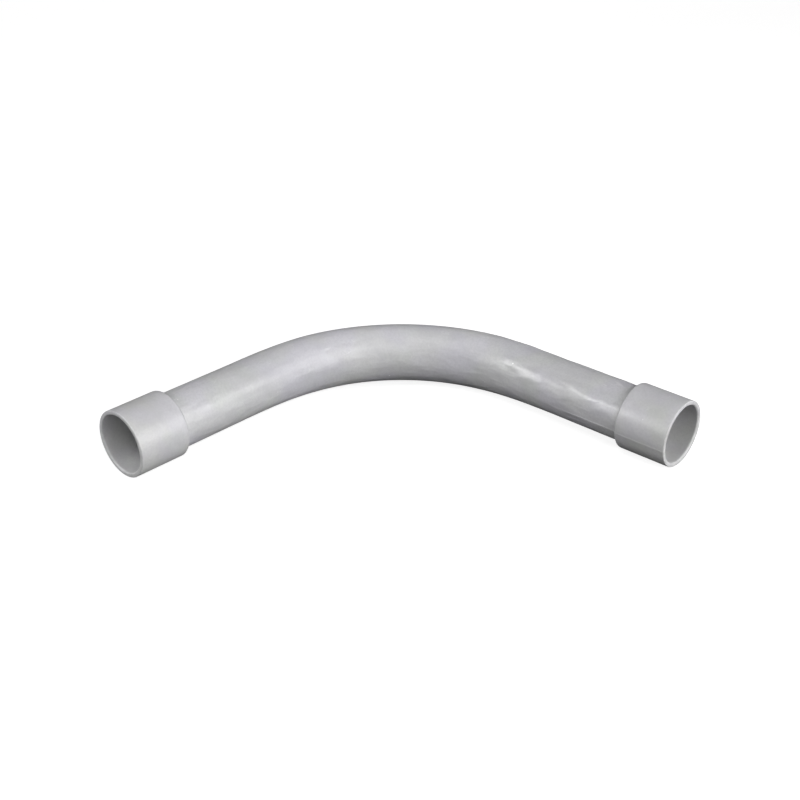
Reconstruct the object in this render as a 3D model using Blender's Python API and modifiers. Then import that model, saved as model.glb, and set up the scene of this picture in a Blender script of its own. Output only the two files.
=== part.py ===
"""A 90 degree PVC conduit elbow: a bent length of conduit with a coupling cemented on each end.

The elbow lies flat. Its right leg points along +X and its left leg along -Y, and the outside of
the bend is towards -X and +Y. The origin is on the surface that it lies on, under the middle of
the elbow's box. Lengths are in metres.
"""

import math

import bpy
from mathutils import Matrix, Vector

# The conduit
TUBE_RADIUS = 0.0125
TUBE_WALL = 0.0019
BEND_ANGLE = math.radians(90)
BEND_RADIUS = 0.0805  # of the centreline, at the middle of the bend, where it is tightest
EASE_SHARE = 0.25  # share of the bend's length in which it eases in, and again in which it eases out
FLATTENING = 0.09  # how far the round section goes oval where the bend is tightest
STRAIGHT_LENGTH = 0.0605  # from the end of the bend to the coupling's mouth

# The couplings, measured from the rear end, where the conduit goes in, to the mouth
COUPLING_LENGTH = 0.0238
COUPLING_REAR_RADIUS = 0.0148
COUPLING_MOUTH_RADIUS = 0.0147  # the mould's draft makes the mouth the narrower end
REAR_EDGE = 0.0009  # radius of the rounded outer edge at the rear end
MOUTH_EDGE = 0.0004  # and at the mouth
LEAD_IN = 0.0005  # chamfer inside the mouth
SOCKET_MOUTH_RADIUS = 0.01265
SOCKET_ROOT_RADIUS = 0.01256
STOP_RADIUS = 0.0114  # the ridge that both tubes come up against
STOP_WIDTH = 0.0015
POCKET_RADIUS = 0.01285
POCKET_DEPTH = 0.0087  # from the rear end to the stop
STOP_GAP = 0.0003  # between the conduit's end and the stop

# The cement that welds a coupling to the conduit: a film in the lap, and what it pushed out
CEMENT_GAP = 0.0001
CEMENT_SHORT = 0.0006  # how far the film ends before the conduit does
BEAD_LENGTH = 0.0006
BEAD_HEIGHT = 0.0005
BEAD_SHOULDER = 0.6  # share of the bead's length at which it starts to fall away
BEAD_SHOULDER_HEIGHT = 0.7  # and its height there, as a share of the full height

# How finely round shapes are divided
SIDES = 48
BEND_STEPS = 28
STEPS_PER_STATION = 16
EDGE_STEPS = 3
SHARP_ANGLE = math.radians(30)

AXIS_HEIGHT = COUPLING_REAR_RADIUS
BEND_LENGTH = BEND_ANGLE * BEND_RADIUS / (1 - EASE_SHARE)


def clear_scene():
    for obj in list(bpy.data.objects):
        bpy.data.objects.remove(obj)


def new_collection(name):
    collection = bpy.data.collections.new(name)
    bpy.context.scene.collection.children.link(collection)
    return collection


def plastic(name, colour, roughness):
    material = bpy.data.materials.new(name)
    material.use_nodes = True
    shader = material.node_tree.nodes["Principled BSDF"]
    shader.inputs["Base Color"].default_value = (*colour, 1)
    shader.inputs["Roughness"].default_value = roughness
    shader.inputs["Metallic"].default_value = 0
    return material


def tightness(share):
    """The curvature at this share of the bend's length: 0 at its ends, 1 at the tightest."""
    return max(0.0, min(1.0, share / EASE_SHARE, (1 - share) / EASE_SHARE))


def turned(share):
    """How far the conduit has turned at this share of the bend's length."""
    if share > 0.5:
        return BEND_ANGLE - turned(1 - share)
    if share < EASE_SHARE:
        part = share * share / (2 * EASE_SHARE)
    else:
        part = share - EASE_SHARE / 2
    return BEND_ANGLE * part / (1 - EASE_SHARE)


def heading(share):
    """The way the conduit runs, from -X at the right leg round to -Y at the left leg."""
    angle = math.pi + turned(share)
    return Vector((math.cos(angle), math.sin(angle), 0))


def bend_stations():
    """Points along the bend's centreline from the right leg on, with the first at the origin."""
    points = [Vector((0, 0, 0))]
    step = 1 / (BEND_STEPS * STEPS_PER_STATION)
    for station in range(BEND_STEPS):
        point = points[-1].copy()
        for part in range(STEPS_PER_STATION):
            middle = (station * STEPS_PER_STATION + part + 0.5) * step
            point += heading(middle) * BEND_LENGTH * step
        points.append(point)
    return points


def conduit_route():
    """The centreline from end to end, each point with the tightness of the bend there."""
    bend = bend_stations()
    reach = -bend[-1].x
    mouth = reach + STRAIGHT_LENGTH
    middle = (mouth - COUPLING_REAR_RADIUS) / 2
    bend_start = Vector((reach - middle, middle, AXIS_HEIGHT))
    end_length = STRAIGHT_LENGTH - COUPLING_LENGTH + POCKET_DEPTH - STOP_GAP
    right_end = bend_start - heading(0) * end_length
    route = [(right_end, 0.0)]
    for station, point in enumerate(bend):
        route.append((bend_start + point, tightness(station / BEND_STEPS)))
    left_end = route[-1][0] + heading(1) * end_length
    route.append((left_end, 0.0))
    return route


def swept_skin(name, points, radius):
    """The open outer surface of a tube along these points, as a mesh object."""
    curve = bpy.data.curves.new(name + "_route", "CURVE")
    curve.dimensions = "3D"
    curve.twist_mode = "Z_UP"
    curve.bevel_depth = radius
    curve.bevel_resolution = (SIDES - 4) // 2
    spline = curve.splines.new("POLY")
    spline.points.add(len(points) - 1)
    for spline_point, point in zip(spline.points, points):
        spline_point.co = (*point, 1)
    route = bpy.data.objects.new(name + "_route", curve)
    bpy.context.scene.collection.objects.link(route)
    evaluated = route.evaluated_get(bpy.context.evaluated_depsgraph_get())
    skin = bpy.data.objects.new(name, bpy.data.meshes.new_from_object(evaluated))
    skin.matrix_world = route.matrix_world
    bpy.data.objects.remove(route)
    return skin


def flatten_in_bend(skin, route):
    """Makes each ring of the skin oval: narrower in the plane of the bend, and taller."""
    last = len(route) - 1
    for vertex in skin.data.vertices:
        ring = vertex.index // SIDES
        centre, tight = route[ring]
        along = route[min(ring + 1, last)][0] - route[max(ring - 1, 0)][0]
        across = along.cross(Vector((0, 0, 1))).normalized()
        out = vertex.co - centre
        squash = 1 - FLATTENING * tight
        stretch = 1 + FLATTENING * tight
        vertex.co = centre + across * out.dot(across) * squash + Vector((0, 0, out.z * stretch))


def make_bend_tube(collection, material):
    route = conduit_route()
    tube = swept_skin("bend_tube", [point for point, _ in route], TUBE_RADIUS)
    flatten_in_bend(tube, route)
    wall = tube.modifiers.new("wall", "SOLIDIFY")
    wall.thickness = TUBE_WALL
    wall.offset = -1
    wall.use_even_offset = True
    finish(tube, collection, material)
    return route


def finish(obj, collection, material):
    obj.data.materials.clear()
    obj.data.materials.append(material)
    obj.data.shade_smooth()
    obj.data.set_sharp_from_angle(angle=SHARP_ANGLE)
    collection.objects.link(obj)


def arc(centre, radius, start_degrees, end_degrees):
    """Points on part of a circle, as (distance from the axis, distance along it)."""
    points = []
    for step in range(EDGE_STEPS + 1):
        angle = math.radians(start_degrees + (end_degrees - start_degrees) * step / EDGE_STEPS)
        x = centre[0] + radius * math.cos(angle)
        z = centre[1] + radius * math.sin(angle)
        points.append((x, z))
    return points


def coupling_outline():
    """The section of the coupling's wall, down its outer side and up its bore."""
    mouth_centre = (COUPLING_MOUTH_RADIUS - MOUTH_EDGE, COUPLING_LENGTH - MOUTH_EDGE)
    rear_centre = (COUPLING_REAR_RADIUS - REAR_EDGE, REAR_EDGE)
    stop_end = POCKET_DEPTH + STOP_WIDTH
    outer_side = arc(mouth_centre, MOUTH_EDGE, 90, 0) + arc(rear_centre, REAR_EDGE, 0, -90)
    pocket = [(POCKET_RADIUS, 0), (POCKET_RADIUS, POCKET_DEPTH)]
    stop = [(STOP_RADIUS, POCKET_DEPTH), (STOP_RADIUS, stop_end)]
    socket = [
        (SOCKET_ROOT_RADIUS, stop_end),
        (SOCKET_MOUTH_RADIUS, COUPLING_LENGTH - LEAD_IN),
        (SOCKET_MOUTH_RADIUS + LEAD_IN, COUPLING_LENGTH),
    ]
    return outer_side + pocket + stop + socket


def cement_outline():
    """The section of the cement: the film in the lap, and the bead against the rear end."""
    inner = TUBE_RADIUS + CEMENT_GAP
    outer = POCKET_RADIUS - CEMENT_GAP
    top = POCKET_DEPTH - STOP_GAP - CEMENT_SHORT
    return [
        (outer, top),
        (outer, -CEMENT_GAP),
        (inner + BEAD_HEIGHT, -CEMENT_GAP),
        (inner + BEAD_HEIGHT * BEAD_SHOULDER_HEIGHT, -CEMENT_GAP - BEAD_LENGTH * BEAD_SHOULDER),
        (inner, -CEMENT_GAP - BEAD_LENGTH),
        (inner, top),
    ]


def make_turned(name, outline, collection, material):
    """A closed outline turned about its object's own Z axis."""
    mesh = bpy.data.meshes.new(name)
    count = len(outline)
    edges = [(index, (index + 1) % count) for index in range(count)]
    mesh.from_pydata([(x, 0, z) for x, z in outline], edges, [])
    turned_piece = bpy.data.objects.new(name, mesh)
    screw = turned_piece.modifiers.new("turn", "SCREW")
    screw.axis = "Z"
    screw.steps = SIDES
    screw.render_steps = SIDES
    screw.use_merge_vertices = True
    screw.merge_threshold = 0.00001
    screw.use_smooth_shade = True
    finish(turned_piece, collection, material)
    return turned_piece


def make_end_fitting(side, tube_end, outward, collection, coupling_material, cement_material):
    """The coupling and its cement on one end of the conduit."""
    rear = tube_end - outward * (POCKET_DEPTH - STOP_GAP)
    turn = Vector((0, 0, 1)).rotation_difference(outward)
    place = Matrix.Translation(rear) @ turn.to_matrix().to_4x4()
    coupling = make_turned(side + "_coupling", coupling_outline(), collection, coupling_material)
    coupling.matrix_world = place
    cement = make_turned(side + "_cement_joint", cement_outline(), collection, cement_material)
    cement.parent = coupling


def main():
    clear_scene()
    collection = new_collection("pvc_conduit_elbow")
    conduit_grey = plastic("conduit_grey", (0.50, 0.50, 0.505), 0.38)
    coupling_grey = plastic("coupling_grey", (0.53, 0.53, 0.53), 0.36)
    clear_cement = plastic("clear_cement", (0.42, 0.43, 0.44), 0.2)
    route = make_bend_tube(collection, conduit_grey)
    right_end = route[0][0]
    left_end = route[-1][0]
    make_end_fitting("right", right_end, -heading(0), collection, coupling_grey, clear_cement)
    make_end_fitting("left", left_end, heading(1), collection, coupling_grey, clear_cement)


main()
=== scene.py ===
"""The finished looks of a grey PVC conduit elbow: a bent conduit with a coupling on each end.

The right leg points along +X and the left leg along -Y. Lengths are in metres.
"""

import math

import bpy
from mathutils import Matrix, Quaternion, Vector


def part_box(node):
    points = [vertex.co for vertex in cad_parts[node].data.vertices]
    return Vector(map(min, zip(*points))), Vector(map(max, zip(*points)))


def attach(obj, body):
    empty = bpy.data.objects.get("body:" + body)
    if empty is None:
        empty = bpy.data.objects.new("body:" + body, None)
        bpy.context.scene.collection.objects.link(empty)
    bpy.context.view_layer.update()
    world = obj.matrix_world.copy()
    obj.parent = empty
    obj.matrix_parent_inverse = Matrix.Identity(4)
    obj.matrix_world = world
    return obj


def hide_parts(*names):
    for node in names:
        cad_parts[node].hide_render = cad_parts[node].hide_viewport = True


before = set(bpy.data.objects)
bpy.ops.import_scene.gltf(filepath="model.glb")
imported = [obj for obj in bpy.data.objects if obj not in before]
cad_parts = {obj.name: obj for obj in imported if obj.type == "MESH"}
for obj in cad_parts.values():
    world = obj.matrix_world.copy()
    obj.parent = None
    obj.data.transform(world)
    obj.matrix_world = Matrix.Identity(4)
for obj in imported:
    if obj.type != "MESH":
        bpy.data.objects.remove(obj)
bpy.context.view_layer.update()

# As the frame has them: the right coupling's box, whose low corner is at its rear end and whose
# high corner is at its mouth, the conduit's box, and the two ends of the right leg's cement
REAR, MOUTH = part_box("right_coupling")
CONDUIT_LOW, CONDUIT_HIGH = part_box("bend_tube")
BEAD_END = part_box("right_cement_joint")[0].x
FILM_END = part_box("right_cement_joint")[1].x
AXIS = Vector((0, (REAR.y + MOUTH.y) / 2, (REAR.z + MOUTH.z) / 2))  # a point on the right leg's axis

# The conduit
CONDUIT_RADIUS = 0.0125
CONDUIT_WALL = 0.0019
BEND_ANGLE = math.radians(90)
BEND_RADIUS = 0.0805  # of the centreline, where the bend is tightest
EASE_SHARE = 0.25  # share of the bend in which it eases in, and again in which it eases out
FLATTENING = 0.09  # how far the round section goes oval in the bend
STRAIGHT_LENGTH = 0.0605  # from the end of the bend to the coupling's mouth
CONDUIT_SIDES = 144
BEND_STEPS = 144
LEG_STEPS = 36

# What bending leaves in the warm wall: name, size and depth of each pattern
WAVES = (("dents", 0.03, 0.0005), ("waves", 0.0085, 0.00042))
CALM_LENGTH = 0.006  # they fade out over this length, just before each coupling
OUTER_SIDE_WAVES = 0.35  # share of their depth on the outside of the bend

# The couplings
COUPLING_REAR_RADIUS = (MOUTH.z - REAR.z) / 2
COUPLING_MOUTH_RADIUS = 0.0147
SOCKET_MOUTH_RADIUS = 0.01265
SOCKET_ROOT_RADIUS = 0.01256
LEAD_IN = 0.0005
STOP_RADIUS = 0.0114
STOP_WIDTH = 0.0015
POCKET_RADIUS = 0.01285
POCKET_DEPTH = 0.0087
COUPLING_SIDES = 144

# The widths of a coupling's rounded edges: the two outer ones, the two of the lead-in, and the
# stop's two, towards the mouth and towards the rear end
REAR_EDGE = 0.0009
MOUTH_EDGE = 0.0004
LIP_EDGE = 0.00012
LEAD_IN_EDGE = 0.0002
STOP_EDGE = 0.0003
STOP_REAR_EDGE = 0.0002

# Where cuts divide a coupling's long faces, from its rear end and from its mouth
CUTS_FROM_REAR = (0.0025, 0.008)
CUTS_FROM_MOUTH = (0.008, 0.0018)

# The cement
CEMENT_GAP = 0.0001
BEAD_HEIGHT = 0.00045
BEAD_UNEVENNESS = 0.00012
CEMENT_SHARP_DEGREES = 50
# The bead's section: how far out from the coupling, and the share of its height there
BEAD_SECTION = ((0, 0.75), (0.00015, 1), (0.00035, 0.65), (0.0005, 0.25))

# How near counts as the same place, and how straight as facing a direction
CONDUIT_MERGE = 0.000001
TURNED_MERGE = 0.00001
RING_MARGIN = 0.00002
FACING = 0.99

ALONG_X = (0, math.pi / 2, 0)  # lays a round primitive down along X


def choose_only(piece):
    bpy.ops.object.select_all(action="DESELECT")
    piece.select_set(True)
    bpy.context.view_layer.objects.active = piece


def settle(piece):
    """Puts a piece's place and turn into its mesh."""
    choose_only(piece)
    bpy.ops.object.transform_apply(location=True, rotation=True, scale=True)


def apply_modifier(piece, kind, name, **settings):
    modifier = piece.modifiers.new(name, kind)
    for key, value in settings.items():
        setattr(modifier, key, value)
    choose_only(piece)
    bpy.ops.object.modifier_apply(modifier=name)


def shade(piece, sharp_degrees=35):
    """Shades a piece smooth, but for its edges that turn by more than this."""
    choose_only(piece)
    bpy.ops.object.shade_smooth_by_angle(angle=math.radians(sharp_degrees))


def merge_and_face_out(distance):
    """Merges the doubles of the piece in edit mode, and turns its faces outwards."""
    bpy.ops.mesh.select_all(action="SELECT")
    bpy.ops.mesh.remove_doubles(threshold=distance)
    bpy.ops.mesh.normals_make_consistent(inside=False)


# ---------------------------------------------------------------- the bent conduit


def tightness(share):
    """The bend's curvature at this share of its length: 0 at its ends, 1 where it is tightest."""
    return max(0.0, min(1.0, share / EASE_SHARE, (1 - share) / EASE_SHARE))


def inward_of(heading):
    """The way towards the inside of the bend, for a conduit that runs along this heading."""
    return Vector((-math.sin(heading), math.cos(heading), 0))


def draw_out(start, direction, total, heading, stations):
    """Draws the selected ring out straight, in short steps."""
    for step in range(LEG_STEPS):
        bpy.ops.mesh.extrude_region_move(TRANSFORM_OT_translate={"value": direction * total / LEG_STEPS})
        stations.append((start + direction * total * (step + 1) / LEG_STEPS, heading))


def sweep_bend(stations):
    """Swings the selected ring round the bend in short arcs, and presses it oval as it goes."""
    centre, heading = stations[-1]
    arc = BEND_ANGLE * BEND_RADIUS / (1 - EASE_SHARE) / BEND_STEPS
    oval = 0.0
    for step in range(BEND_STEPS):
        radius = BEND_RADIUS / tightness((step + 0.5) / BEND_STEPS)
        pivot = centre + inward_of(heading) * radius
        bpy.ops.mesh.spin(steps=1, angle=-arc / radius, center=pivot, axis=(0, 0, 1))
        heading += arc / radius
        centre = pivot - inward_of(heading) * radius
        new_oval = FLATTENING * tightness((step + 1) / BEND_STEPS)
        narrower = (1 - new_oval) / (1 - oval)
        taller = (1 + new_oval) / (1 + oval)
        bpy.ops.transform.resize(value=(narrower, narrower, taller), center_override=centre)
        oval = new_oval
        stations.append((centre.copy(), heading))


def model_conduit():
    """A ring drawn out straight, swept round the bend, and drawn out straight again."""
    right_end = Vector((CONDUIT_HIGH.x, AXIS.y, AXIS.z))
    bpy.ops.object.select_all(action="DESELECT")
    bpy.ops.mesh.primitive_circle_add(
        vertices=CONDUIT_SIDES, radius=CONDUIT_RADIUS, location=right_end, rotation=ALONG_X
    )
    conduit = bpy.context.object
    conduit.name = "bent_conduit"
    settle(conduit)
    bpy.ops.object.mode_set(mode="EDIT")
    bpy.ops.mesh.select_all(action="SELECT")
    stations = [(right_end, math.pi)]  # the centre of each ring, and the heading there
    right_leg = CONDUIT_HIGH.x - (MOUTH.x - STRAIGHT_LENGTH)
    draw_out(right_end, Vector((-1, 0, 0)), right_leg, math.pi, stations)
    sweep_bend(stations)
    bend_end, heading = stations[-1]
    draw_out(bend_end, Vector((0, -1, 0)), bend_end.y - CONDUIT_LOW.y, heading, stations)
    merge_and_face_out(CONDUIT_MERGE)
    bpy.ops.object.mode_set(mode="OBJECT")
    length = note_straight_place(conduit, stations)
    wave(conduit, length)
    apply_modifier(conduit, "SOLIDIFY", "wall", thickness=CONDUIT_WALL, offset=-1, use_even_offset=True)
    shade(conduit)
    return conduit


def note_straight_place(conduit, stations):
    """Keeps where each point was before the bend: inwards, up, and along. Returns the whole length."""
    note = conduit.data.attributes.new("straight_place", "FLOAT_VECTOR", "POINT")
    along = 0.0
    for ring, (centre, heading) in enumerate(stations):
        if ring:
            along += (centre - stations[ring - 1][0]).length
        for vertex in conduit.data.vertices[ring * CONDUIT_SIDES:(ring + 1) * CONDUIT_SIDES]:
            out = vertex.co - centre
            note.data[vertex.index].vector = (out.dot(inward_of(heading)), out.z, along)
    return along


def wave(conduit, length):
    """The soft waves and dents that bending leaves in the warm wall, most of them on the inside."""
    covered = CONDUIT_HIGH.x - REAR.x
    soft = conduit.vertex_groups.new(name="softened")
    note = conduit.data.attributes["straight_place"]
    for vertex in conduit.data.vertices:
        inward, _, along = note.data[vertex.index].vector
        from_coupling = min(along, length - along) - covered - CALM_LENGTH / 3
        bare = max(0.0, min(1.0, from_coupling / CALM_LENGTH))
        inside = 0.5 + 0.5 * inward / CONDUIT_RADIUS
        depth_share = OUTER_SIDE_WAVES + (1 - OUTER_SIDE_WAVES) * inside
        soft.add([vertex.index], bare * depth_share, "REPLACE")
    for name, size, depth in WAVES:
        pattern = bpy.data.textures.new(name, "CLOUDS")
        pattern.noise_scale = size
        pattern.noise_depth = 1
        apply_modifier(
            conduit, "DISPLACE", name,
            texture=pattern, texture_coords="LOCAL", vertex_group="softened", strength=depth, mid_level=0.5,
        )


# ---------------------------------------------------------------- the couplings


def select_end(piece, direction):
    """Selects the one flat end that looks this way."""
    bpy.ops.mesh.select_all(action="DESELECT")
    bpy.ops.object.mode_set(mode="OBJECT")
    facing = [face for face in piece.data.polygons if face.normal.dot(direction) > FACING]
    end = max(facing, key=lambda face: face.center.dot(direction))
    end.select = True
    bpy.ops.object.mode_set(mode="EDIT")


def scale_round(share, x):
    """Scales what is selected about the right leg's axis."""
    bpy.ops.transform.resize(value=(1, share, share), center_override=(x, AXIS.y, AXIS.z))


def push_in(depth, from_radius, to_radius, x):
    """Extrudes the selected face or ring this far along X, to this radius at this x."""
    bpy.ops.mesh.extrude_region_move(TRANSFORM_OT_translate={"value": (depth, 0, 0)})
    scale_round(to_radius / from_radius, x)


def step_in(from_radius, to_radius, x):
    """Insets the selected round face to a smaller one."""
    push_in(0, from_radius, to_radius, x)


def select_ring(piece, x, radius):
    """Selects the round edge at this place along the right leg."""
    bpy.ops.mesh.select_all(action="DESELECT")
    bpy.ops.object.mode_set(mode="OBJECT")
    for vertex in piece.data.vertices:
        out = math.hypot(vertex.co.y - AXIS.y, vertex.co.z - AXIS.z)
        vertex.select = abs(vertex.co.x - x) < RING_MARGIN and abs(out - radius) < RING_MARGIN
    bpy.ops.object.mode_set(mode="EDIT")


def round_ring(piece, x, radius, width, steps):
    select_ring(piece, x, radius)
    bpy.ops.mesh.bevel(offset=width, segments=steps, profile=0.5, affect="EDGES")


def model_coupling():
    """A solid plug, bored from both ends down to the ridge that stops the tubes."""
    bpy.ops.object.select_all(action="DESELECT")
    bpy.ops.mesh.primitive_cylinder_add(
        vertices=COUPLING_SIDES,
        radius=COUPLING_REAR_RADIUS,
        depth=MOUTH.x - REAR.x,
        location=((REAR.x + MOUTH.x) / 2, AXIS.y, AXIS.z),
        rotation=ALONG_X,
    )
    coupling = bpy.context.object
    coupling.name = "right_sleeve"
    settle(coupling)
    bpy.ops.object.mode_set(mode="EDIT")
    bpy.ops.mesh.select_mode(type="FACE")
    lip = SOCKET_MOUTH_RADIUS + LEAD_IN
    stop_start = REAR.x + POCKET_DEPTH
    stop_end = stop_start + STOP_WIDTH

    # the mouth: draft outside, then the lead-in, the socket and half of the stop
    select_end(coupling, Vector((1, 0, 0)))
    scale_round(COUPLING_MOUTH_RADIUS / COUPLING_REAR_RADIUS, MOUTH.x)
    step_in(COUPLING_MOUTH_RADIUS, lip, MOUTH.x)
    push_in(-LEAD_IN, lip, SOCKET_MOUTH_RADIUS, MOUTH.x - LEAD_IN)
    push_in(stop_end - MOUTH.x + LEAD_IN, SOCKET_MOUTH_RADIUS, SOCKET_ROOT_RADIUS, stop_end)
    step_in(SOCKET_ROOT_RADIUS, STOP_RADIUS, stop_end)
    push_in(-STOP_WIDTH / 2, STOP_RADIUS, STOP_RADIUS, stop_end)
    bpy.ops.mesh.delete(type="FACE")

    # the rear end: the pocket that the conduit is cemented into, and the other half of the stop
    select_end(coupling, Vector((-1, 0, 0)))
    step_in(COUPLING_REAR_RADIUS, POCKET_RADIUS, REAR.x)
    push_in(POCKET_DEPTH, POCKET_RADIUS, POCKET_RADIUS, stop_start)
    step_in(POCKET_RADIUS, STOP_RADIUS, stop_start)
    push_in(STOP_WIDTH / 2, STOP_RADIUS, STOP_RADIUS, stop_start)
    bpy.ops.mesh.delete(type="FACE")
    merge_and_face_out(TURNED_MERGE)

    bpy.ops.mesh.select_mode(type="VERT")
    for x, radius, width, steps in (
        (REAR.x, COUPLING_REAR_RADIUS, REAR_EDGE, 7),
        (MOUTH.x, COUPLING_MOUTH_RADIUS, MOUTH_EDGE, 5),
        (MOUTH.x, lip, LIP_EDGE, 3),
        (MOUTH.x - LEAD_IN, SOCKET_MOUTH_RADIUS, LEAD_IN_EDGE, 3),
        (stop_end, STOP_RADIUS, STOP_EDGE, 4),
        (stop_start, STOP_RADIUS, STOP_REAR_EDGE, 3),
    ):
        round_ring(coupling, x, radius, width, steps)
    cuts = [REAR.x + cut for cut in CUTS_FROM_REAR] + [MOUTH.x - cut for cut in CUTS_FROM_MOUTH]
    for x in cuts:
        bpy.ops.mesh.select_all(action="SELECT")
        bpy.ops.mesh.bisect(plane_co=(x, 0, 0), plane_no=(1, 0, 0))
    bpy.ops.object.mode_set(mode="OBJECT")
    note_turned_place(coupling)
    shade(coupling)
    return coupling


def note_turned_place(coupling):
    """Keeps each point's place in the mould: inwards, up, and along from the mouth."""
    note = coupling.data.attributes.new("turned_place", "FLOAT_VECTOR", "POINT")
    for vertex in coupling.data.vertices:
        out = vertex.co - AXIS
        note.data[vertex.index].vector = (-out.y, out.z, MOUTH.x - vertex.co.x)


def copy_to_left(piece, name, spin_degrees):
    """The same piece on the left leg, with its own mesh, and turned about its own axis."""
    copy = piece.copy()
    copy.data = piece.data.copy()
    copy.name = name
    bpy.context.scene.collection.objects.link(copy)
    spin = Quaternion((1, 0, 0), math.radians(spin_degrees))
    copy.rotation_mode = "QUATERNION"
    copy.rotation_quaternion = spin
    copy.location = AXIS - spin @ AXIS
    settle(copy)
    copy.rotation_quaternion = Quaternion((0, 0, 1), -math.pi / 2)
    copy.location = (-2 * AXIS.y, 0, 0)
    settle(copy)
    copy.rotation_mode = "XYZ"
    return copy


# ---------------------------------------------------------------- the cement


def model_cement():
    """The ring of cement: a film in the lap, and the bead that was squeezed out of the rear end."""
    inner = CONDUIT_RADIUS + CEMENT_GAP
    outer = POCKET_RADIUS - CEMENT_GAP
    bead_face = REAR.x - CEMENT_GAP
    outline = [(FILM_END, outer), (bead_face, outer)]
    outline += [(bead_face - out, inner + BEAD_HEIGHT * share) for out, share in BEAD_SECTION]
    outline += [(BEAD_END, inner), (FILM_END, inner), (FILM_END, outer)]
    bpy.ops.object.select_all(action="DESELECT")
    bpy.ops.mesh.primitive_circle_add(
        vertices=COUPLING_SIDES, radius=outer, location=(FILM_END, AXIS.y, AXIS.z), rotation=ALONG_X
    )
    cement = bpy.context.object
    cement.name = "right_cement"
    settle(cement)
    bpy.ops.object.mode_set(mode="EDIT")
    bpy.ops.mesh.select_all(action="SELECT")
    for (old_x, old_radius), (x, radius) in zip(outline, outline[1:]):
        push_in(x - old_x, old_radius, radius, x)
    merge_and_face_out(TURNED_MERGE)

    # the bead's crest and the two rings beyond it are uneven
    bpy.ops.mesh.select_mode(type="VERT")
    for ring in range(3, 6):
        select_ring(cement, *outline[ring])
        bpy.ops.transform.vertex_random(offset=BEAD_UNEVENNESS, uniform=0.0, normal=0.0, seed=ring)
        bpy.ops.mesh.vertices_smooth(factor=0.6, repeat=3, xaxis=True, yaxis=True, zaxis=True)
    bpy.ops.object.mode_set(mode="OBJECT")
    shade(cement, CEMENT_SHARP_DEGREES)
    return cement


# ---------------------------------------------------------------- materials


PVC_IOR = 1.54

# The faint casts of the plastic, as shares of its grey
LILAC_CAST = (0.995, 0.985, 1.035, 1)
GREEN_CAST = (0.985, 1.0, 0.975, 1)

# The depths of the bumps that both plastics have
GRAIN_DEPTH = 0.000018
BLOOM_DEPTH = 0.00008
SCUFF_DEPTH = 0.00001

# The paper of the floor
PAPER_GREY = 0.42
PAPER_GLOW = 0.8


class Finish:
    """A material under way: its nodes are added and joined through this."""

    def __init__(self, name):
        self.material = bpy.data.materials.new(name)
        self.material.use_nodes = True
        self.tree = self.material.node_tree
        self.shader = self.tree.nodes["Principled BSDF"]
        self.shader.inputs["IOR"].default_value = PVC_IOR

    def add(self, kind, **settings):
        node = self.tree.nodes.new(kind)
        for key, value in settings.items():
            setattr(node, key, value)
        return node

    def feed(self, socket, value):
        """Gives a socket a plain value, or joins another node's output to it."""
        if isinstance(value, bpy.types.NodeSocket):
            self.tree.links.new(value, socket)
        else:
            socket.default_value = value

    def object_place(self):
        return self.add("ShaderNodeTexCoord").outputs["Object"]

    def kept_place(self, attribute):
        return self.add("ShaderNodeAttribute", attribute_name=attribute).outputs["Vector"]

    def stretched(self, place, scale, turn=(0, 0, 0)):
        node = self.add("ShaderNodeMapping")
        self.feed(node.inputs["Vector"], place)
        node.inputs["Scale"].default_value = scale
        node.inputs["Rotation"].default_value = turn
        return node.outputs["Vector"]

    def noise(self, place, scale, detail=2.0, roughness=0.5, warp=0.0):
        node = self.add("ShaderNodeTexNoise")
        self.feed(node.inputs["Vector"], place)
        node.inputs["Scale"].default_value = scale
        node.inputs["Detail"].default_value = detail
        node.inputs["Roughness"].default_value = roughness
        node.inputs["Distortion"].default_value = warp
        return node.outputs["Fac"]

    def part_of(self, place, axis):
        node = self.add("ShaderNodeSeparateXYZ")
        self.feed(node.inputs[0], place)
        return node.outputs[axis]

    def math(self, operation, first, second=0.0, third=0.0):
        node = self.add("ShaderNodeMath", operation=operation)
        for socket, value in zip(node.inputs, (first, second, third)):
            self.feed(socket, value)
        return node.outputs[0]

    def ramp(self, value, low, high, to_low=0.0, to_high=1.0):
        """Maps a value softly from low..high to to_low..to_high, and holds it beyond the ends."""
        node = self.add("ShaderNodeMapRange", interpolation_type="SMOOTHSTEP")
        for name, number in (("From Min", low), ("From Max", high), ("To Min", to_low), ("To Max", to_high)):
            node.inputs[name].default_value = number
        self.feed(node.inputs["Value"], value)
        return node.outputs["Result"]

    def mix(self, share, first, second, blend="MIX"):
        node = self.add("ShaderNodeMix", data_type="RGBA", blend_type=blend)
        self.feed(node.inputs["Factor"], share)
        self.feed(node.inputs[6], first)
        self.feed(node.inputs[7], second)
        return node.outputs[2]

    def bump(self, height, depth, before=None):
        node = self.add("ShaderNodeBump")
        node.inputs["Strength"].default_value = 1.0
        node.inputs["Distance"].default_value = depth
        self.feed(node.inputs["Height"], height)
        if before is not None:
            self.feed(node.inputs["Normal"], before)
        return node.outputs["Normal"]

    def complete(self, colour, rough, skin):
        """Joins the finished colour, roughness and bumps to the shader."""
        for name, value in (("Base Color", colour), ("Roughness", rough), ("Normal", skin)):
            self.feed(self.shader.inputs[name], value)
        return self.material


def grey(value, blue=0.0):
    """A grey of this value, with its blue stronger by this share."""
    return (value, value, value * (1 + blue), 1)


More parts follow.
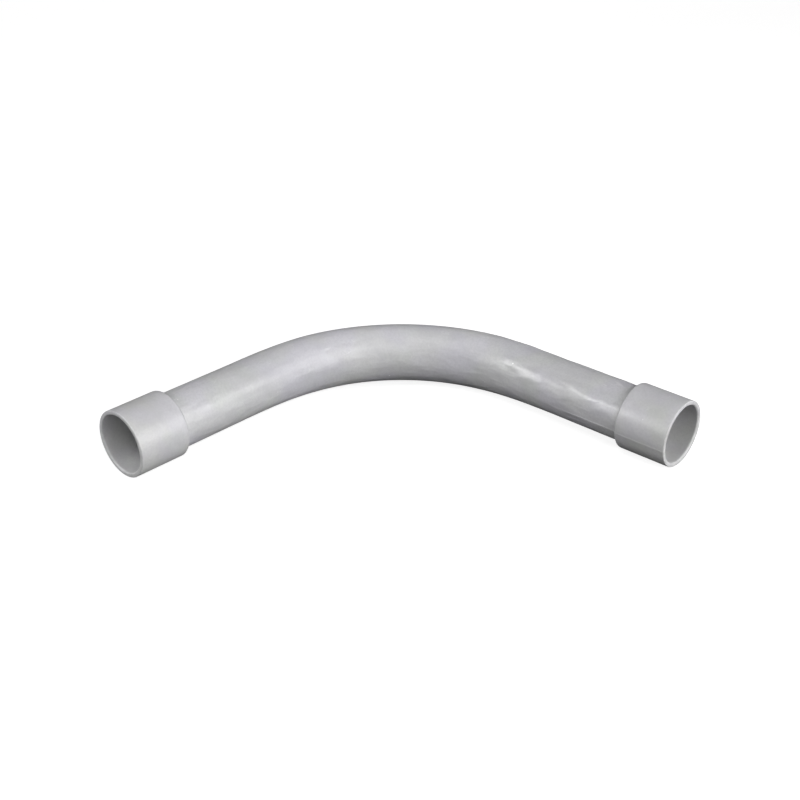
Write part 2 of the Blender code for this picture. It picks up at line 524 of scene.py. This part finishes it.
def ridge_line(finish, place, turn_degrees, above, below):
    """The height of a low ridge along a piece, at this angle below its inner side.

    It rises quickly from above and falls away slowly below, over these two widths.
    """
    turned = finish.stretched(place, (1, 1, 1), (0, 0, math.radians(turn_degrees)))
    off = finish.part_of(turned, "Y")
    ridge = finish.math("MULTIPLY", finish.ramp(off, above, 0.0), finish.ramp(off, -below, 0.0))
    inner_side_only = finish.ramp(finish.part_of(turned, "X"), 0.0, 0.001)
    return finish.math("MULTIPLY", ridge, inner_side_only)


def tinted(finish, place, scale, colour):
    """The faint casts of a plastic that is nearly neutral: lilac in one place, green in another."""
    lilac = finish.ramp(finish.noise(place, scale), 0.4, 0.62)
    green = finish.ramp(finish.noise(place, scale * 1.6), 0.48, 0.66)
    colour = finish.mix(lilac, colour, LILAC_CAST, "MULTIPLY")
    return finish.mix(green, colour, GREEN_CAST, "MULTIPLY")


def scuffs(finish, place, scale, threshold):
    """Thin scattered scratches: the level lines of one noise, kept only where another is high."""
    swirl = finish.noise(place, scale, detail=1.0, warp=0.6)
    line = finish.ramp(finish.math("ABSOLUTE", finish.math("SUBTRACT", swirl, 0.5)), 0.006, 0.0)
    patch = finish.ramp(finish.noise(place, scale * 2.3), threshold, threshold + 0.06)
    return finish.math("MULTIPLY", line, patch)


def specks(finish, place, scale, size, share):
    """Tiny round specks, in this share of the cells of a random pattern."""
    cells = finish.add("ShaderNodeTexVoronoi")
    finish.feed(cells.inputs["Vector"], place)
    cells.inputs["Scale"].default_value = scale
    dot = finish.ramp(cells.outputs["Distance"], size, size * 0.6)
    chosen = finish.ramp(finish.part_of(cells.outputs["Color"], "X"), 1 - share, 1 - share + 0.01)
    return finish.math("MULTIPLY", dot, chosen)


def bending_dents(finish, place):
    """Shallow dents, longer along the conduit than round it, and deeper on the inside of the bend."""
    dents = finish.noise(finish.stretched(place, (1, 1, 0.4)), scale=165.0, detail=1.6, warp=0.5)
    inward = finish.part_of(place, "X")
    inner_side = finish.ramp(inward, -CONDUIT_RADIUS, 0.4 * CONDUIT_RADIUS, 0.25, 1.0)
    return finish.math("MULTIPLY", finish.math("SUBTRACT", dents, 0.5), inner_side)


def drawn_ridge(finish, place):
    """A low ridge along the conduit: whole near its right end, and in stretches elsewhere."""
    ridge = ridge_line(finish, place, turn_degrees=15, above=0.0004, below=0.0024)
    near_end = finish.ramp(finish.part_of(place, "Z"), 0.046, 0.03)
    here_and_there = finish.ramp(finish.noise(place, scale=30.0, detail=1.0), 0.54, 0.66, 0.0, 0.5)
    return finish.math("MULTIPLY", ridge, finish.math("MAXIMUM", near_end, here_and_there))


def drawn_pvc():
    """The conduit: extruded grey PVC, satin, with draw lines, dents, clouding, scuffs and specks."""
    finish = Finish("drawn_grey_pvc")
    place = finish.kept_place("straight_place")
    fixed = finish.object_place()
    cloud = finish.noise(fixed, scale=55.0, detail=4.0, roughness=0.55)
    bloom = finish.noise(fixed, scale=190.0, detail=3.0, roughness=0.6)
    grain = finish.noise(fixed, scale=1000.0, roughness=0.6)
    dents = bending_dents(finish, place)
    lines = finish.noise(finish.stretched(place, (520, 520, 9)), scale=1.0, detail=3.0, roughness=0.6)
    marks = scuffs(finish, finish.stretched(place, (1, 1, 0.35)), scale=160.0, threshold=0.54)
    dots = specks(finish, place, scale=210.0, size=0.1, share=0.08)
    soil = specks(finish, fixed, scale=150.0, size=0.07, share=0.07)
    ridge = drawn_ridge(finish, place)

    colour = finish.mix(finish.ramp(cloud, 0.3, 0.7), grey(0.47, 0.025), grey(0.525, 0.005))
    colour = finish.mix(finish.ramp(bloom, 0.35, 0.7, 0.0, 0.5), colour, grey(0.545, 0.01))
    colour = finish.mix(finish.ramp(lines, 0.35, 0.65, 0.0, 0.2), colour, grey(0.45, 0.03))
    colour = finish.mix(finish.ramp(grain, 0.35, 0.7, 0.0, 0.45), colour, grey(0.42, 0.03))
    colour = tinted(finish, fixed, 42.0, colour)
    colour = finish.mix(finish.math("MULTIPLY", marks, 0.4), colour, grey(0.68))
    colour = finish.mix(finish.math("MULTIPLY", dots, 0.85), colour, grey(0.82))
    colour = finish.mix(finish.math("MULTIPLY", soil, 0.5), colour, grey(0.28))

    haze = finish.noise(finish.stretched(place, (1, 1, 0.4)), scale=190.0, warp=0.5)
    rough = finish.ramp(haze, 0.4, 0.6, 0.345, 0.48)
    rough = finish.math("ADD", rough, finish.ramp(lines, 0.35, 0.65, -0.02, 0.02))
    rough = finish.math("MULTIPLY_ADD", marks, 0.15, rough)

    skin = finish.bump(grain, GRAIN_DEPTH)
    skin = finish.bump(lines, 0.000012, skin)
    skin = finish.bump(bloom, BLOOM_DEPTH, skin)
    skin = finish.bump(dents, 0.00068, skin)
    skin = finish.bump(marks, SCUFF_DEPTH, skin)
    skin = finish.bump(ridge, 0.00018, skin)
    return finish.complete(colour, rough, skin)


def moulded_pvc():
    """The couplings: moulded grey PVC, satin, with a parting line, sink clouding and rubbed rims."""
    finish = Finish("moulded_grey_pvc")
    place = finish.kept_place("turned_place")
    fixed = finish.object_place()
    cloud = finish.noise(fixed, scale=70.0, detail=4.0, roughness=0.55)
    bloom = finish.noise(fixed, scale=240.0, detail=3.0, roughness=0.6)
    grain = finish.noise(fixed, scale=1000.0, roughness=0.6)
    sinks = finish.noise(fixed, scale=130.0, warp=0.3)
    marks = scuffs(finish, fixed, scale=190.0, threshold=0.56)
    dots = specks(finish, fixed, scale=260.0, size=0.09, share=0.05)
    seam = ridge_line(finish, place, turn_degrees=9, above=0.0003, below=0.002)
    rim = finish.ramp(finish.part_of(place, "Z"), 0.0011, 0.0)
    worn = finish.ramp(finish.noise(fixed, scale=420.0, detail=3.0, roughness=0.7), 0.38, 0.62)
    rub = finish.math("MULTIPLY", rim, worn)

    colour = finish.mix(finish.ramp(cloud, 0.3, 0.7), grey(0.475), grey(0.53, -0.01))
    colour = finish.mix(finish.ramp(bloom, 0.35, 0.7, 0.0, 0.4), colour, grey(0.55))
    colour = finish.mix(finish.ramp(grain, 0.35, 0.7, 0.0, 0.4), colour, grey(0.43, 0.01))
    colour = tinted(finish, fixed, 50.0, colour)
    colour = finish.mix(finish.math("MULTIPLY", marks, 0.35), colour, grey(0.66))
    colour = finish.mix(finish.math("MULTIPLY", dots, 0.7), colour, grey(0.75))
    colour = finish.mix(finish.math("MULTIPLY", rub, 0.4), colour, grey(0.66))

    rough = finish.ramp(bloom, 0.3, 0.7, 0.38, 0.48)
    rough = finish.math("MULTIPLY_ADD", rub, 0.12, rough)
    rough = finish.math("MULTIPLY_ADD", marks, 0.15, rough)

    skin = finish.bump(grain, GRAIN_DEPTH)
    skin = finish.bump(bloom, BLOOM_DEPTH, skin)
    skin = finish.bump(sinks, 0.0002, skin)
    skin = finish.bump(marks, SCUFF_DEPTH, skin)
    skin = finish.bump(rub, SCUFF_DEPTH, skin)
    skin = finish.bump(seam, 0.00011, skin)
    return finish.complete(colour, rough, skin)


def cured_cement():
    """Dried cement: glossy, a little darker than the pipe, with small runs and trapped dust."""
    finish = Finish("cured_cement")
    fixed = finish.object_place()
    runs = finish.noise(fixed, scale=420.0, detail=3.0, roughness=0.6)
    dust = finish.noise(fixed, scale=1500.0, roughness=0.7)
    colour = finish.mix(finish.ramp(runs, 0.35, 0.65), grey(0.43, 0.02), grey(0.52, 0.01))
    colour = finish.mix(finish.ramp(dust, 0.6, 0.75, 0.0, 0.4), colour, grey(0.62))
    rough = finish.math("MULTIPLY_ADD", dust, 0.08, finish.ramp(runs, 0.3, 0.7, 0.16, 0.3))
    skin = finish.bump(dust, 0.00001, finish.bump(runs, 0.00008))
    return finish.complete(colour, rough, skin)


def pale_paper():
    """The floor and the wall that it sweeps up into: plain, nearly white, and glowing softly."""
    finish = Finish("pale_paper")
    finish.shader.inputs["Base Color"].default_value = grey(PAPER_GREY)
    finish.shader.inputs["Roughness"].default_value = 0.95
    finish.shader.inputs["Specular IOR Level"].default_value = 0.0
    finish.shader.inputs["Emission Color"].default_value = (1, 1, 1, 1)
    finish.shader.inputs["Emission Strength"].default_value = PAPER_GLOW
    return finish.material


def dress(piece, material):
    piece.data.materials.clear()
    piece.data.materials.append(material)


# ---------------------------------------------------------------- the studio


FLOOR_RADIUS = 4.0
FLOOR_SIDES = 96
WALL_HEIGHT = 5.0
SWEEP_RADIUS = 1.2
SWEEP_STEPS = 16

CAMERA_TARGET = Vector((-0.01656, 0.01616, AXIS.z))
CAMERA_AZIMUTH = -47.74
CAMERA_ELEVATION = 28.73
CAMERA_DISTANCE = 0.48965
CAMERA_ROLL = 0.37
FOCAL_LENGTH = 50.54  # this and the sensor's width are in millimetres
SENSOR_WIDTH = 36

AMBIENT_STRENGTH = 0.04
SOFTBOX_DISTANCE = 1.6
# name, azimuth and elevation in degrees, width, height, power in watts, and whether gloss shows it
SOFTBOXES = (
    ("right_window", 14, 20, 1.5, 1.15, 32.0, True),
    ("front_left", 237, 26, 0.65, 0.42, 13.3, True),
    ("front_right", 328, 32, 0.7, 0.6, 5.8, True),
    ("top", 268, 60, 0.7, 0.7, 5.4, True),
    ("back_fill", 135, -4, 1.3, 0.8, 9.0, False),
)


def away(azimuth_degrees, elevation_degrees):
    """The direction from the middle out, this far round from +X and this far up."""
    azimuth = math.radians(azimuth_degrees)
    elevation = math.radians(elevation_degrees)
    return Vector((
        math.cos(azimuth) * math.cos(elevation),
        math.sin(azimuth) * math.cos(elevation),
        math.sin(elevation),
    ))


def make_camera():
    back = away(CAMERA_AZIMUTH, CAMERA_ELEVATION)
    lens = bpy.data.cameras.new("studio_camera")
    lens.lens = FOCAL_LENGTH
    lens.sensor_width = SENSOR_WIDTH
    camera = bpy.data.objects.new("studio_camera", lens)
    bpy.context.scene.collection.objects.link(camera)
    camera.location = CAMERA_TARGET + back * CAMERA_DISTANCE
    camera.rotation_mode = "QUATERNION"
    level = (-back).to_track_quat("-Z", "Y")
    camera.rotation_quaternion = level @ Quaternion((0, 0, 1), math.radians(CAMERA_ROLL))
    bpy.context.scene.camera = camera


def make_floor():
    """A round paper floor that sweeps up into a wall all round. It lights nothing by itself."""
    bpy.ops.object.select_all(action="DESELECT")
    bpy.ops.mesh.primitive_cylinder_add(
        vertices=FLOOR_SIDES, radius=FLOOR_RADIUS, depth=WALL_HEIGHT, location=(0, 0, WALL_HEIGHT / 2)
    )
    floor = bpy.context.object
    floor.name = "floor"
    settle(floor)
    bpy.ops.object.mode_set(mode="EDIT")
    bpy.ops.mesh.select_mode(type="FACE")
    select_end(floor, Vector((0, 0, 1)))
    bpy.ops.mesh.delete(type="FACE")
    select_end(floor, Vector((0, 0, -1)))
    bpy.ops.mesh.bevel(offset=SWEEP_RADIUS, segments=SWEEP_STEPS, profile=0.5, affect="EDGES")
    bpy.ops.mesh.select_all(action="SELECT")
    bpy.ops.mesh.flip_normals()
    bpy.ops.object.mode_set(mode="OBJECT")
    shade(floor)
    dress(floor, pale_paper())
    floor.visible_diffuse = False
    floor.visible_glossy = False
    floor.visible_shadow = False


def light_studio():
    world = bpy.data.worlds.new("studio")
    world.use_nodes = True
    background = world.node_tree.nodes["Background"]
    background.inputs["Color"].default_value = (1, 1, 1, 1)
    background.inputs["Strength"].default_value = AMBIENT_STRENGTH
    bpy.context.scene.world = world
    bpy.context.scene.view_settings.view_transform = "Standard"
    centre = Vector((0, 0, AXIS.z))
    for name, azimuth, elevation, width, height, power, in_gloss in SOFTBOXES:
        light = bpy.data.lights.new(name, "AREA")
        light.shape = "RECTANGLE"
        light.size = width
        light.size_y = height
        light.energy = power
        lamp = bpy.data.objects.new(name, light)
        bpy.context.scene.collection.objects.link(lamp)
        lamp.visible_camera = False
        lamp.visible_glossy = in_gloss
        lamp.location = centre + away(azimuth, elevation) * SOFTBOX_DISTANCE
        lamp.rotation_mode = "QUATERNION"
        lamp.rotation_quaternion = (centre - lamp.location).to_track_quat("-Z", "Y")


def main():
    conduit = model_conduit()
    right_sleeve = model_coupling()
    right_cement = model_cement()
    left_sleeve = copy_to_left(right_sleeve, "left_sleeve", spin_degrees=100)
    left_cement = copy_to_left(right_cement, "left_cement", spin_degrees=45)
    pipe = drawn_pvc()
    moulding = moulded_pvc()
    cement = cured_cement()
    for piece, node, slot, material in (
        (conduit, "bend_tube", "conduit", pipe),
        (right_sleeve, "right_coupling", "coupling", moulding),
        (left_sleeve, "left_coupling", "coupling", moulding),
        (right_cement, "right_cement_joint", "cement", cement),
        (left_cement, "left_cement_joint", "cement", cement),
    ):
        dress(piece, material)
        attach(piece, "root")
        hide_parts(node)
    make_floor()
    light_studio()
    make_camera()


main()
